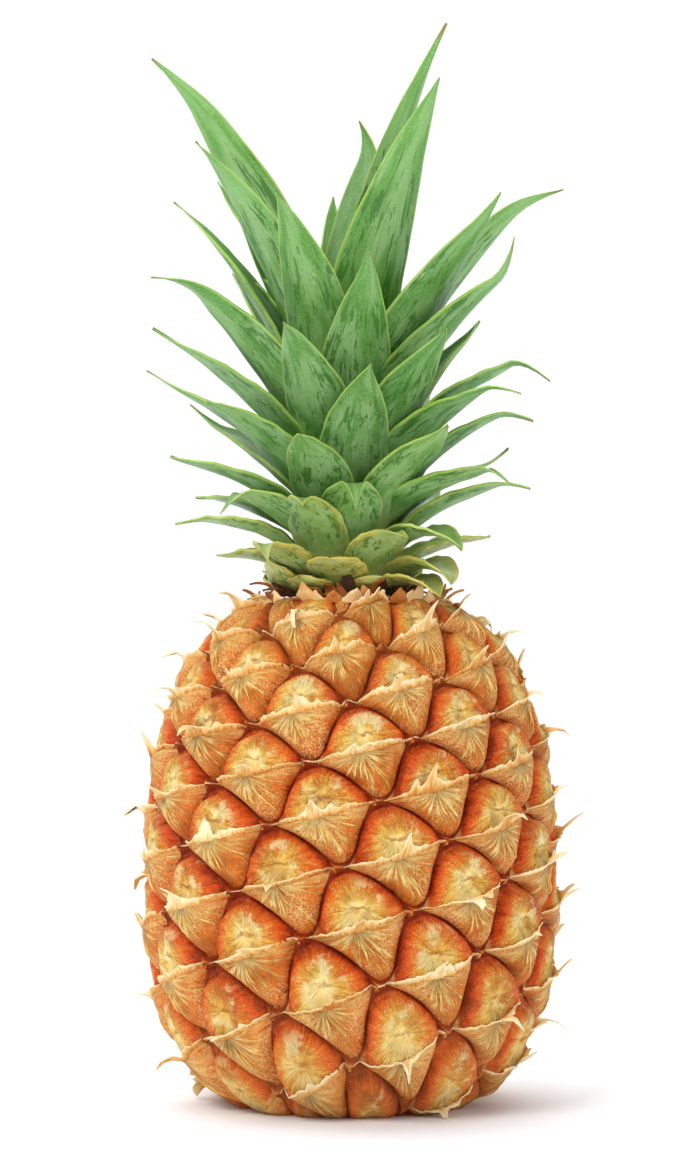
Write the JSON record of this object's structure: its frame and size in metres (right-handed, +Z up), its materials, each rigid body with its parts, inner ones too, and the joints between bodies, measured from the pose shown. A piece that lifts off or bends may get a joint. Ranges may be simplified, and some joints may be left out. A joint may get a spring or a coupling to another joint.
{
  "type": "pineapple",
  "caption": "Whole ripe pineapple standing upright on its cut base: a barrel-shaped fruit covered in spirals of scaly eyes, with a crown of stiff pointed leaves.",
  "frame": {"origin": "centre of the stalk's cut face, on the surface that the fruit stands on", "axes": "+Z up along the fruit to the crown, -Y towards the front, +X to the right seen from the front"},
  "size_m": [0.1293, 0.1306, 0.308],
  "materials": {
    "rind": "scaly, waxy orange-brown rind",
    "leaf": "waxy green with a pale bloom",
    "dry_scale": "dry and papery",
    "cut_stalk": "dry cut fibres"
  },
  "bodies": {
    "root": {"fruit": "rind", "crown_leaves": "leaf", "neck_scales": "dry_scale", "stalk_stub": "cut_stalk"}
  },
  "joints": []
}
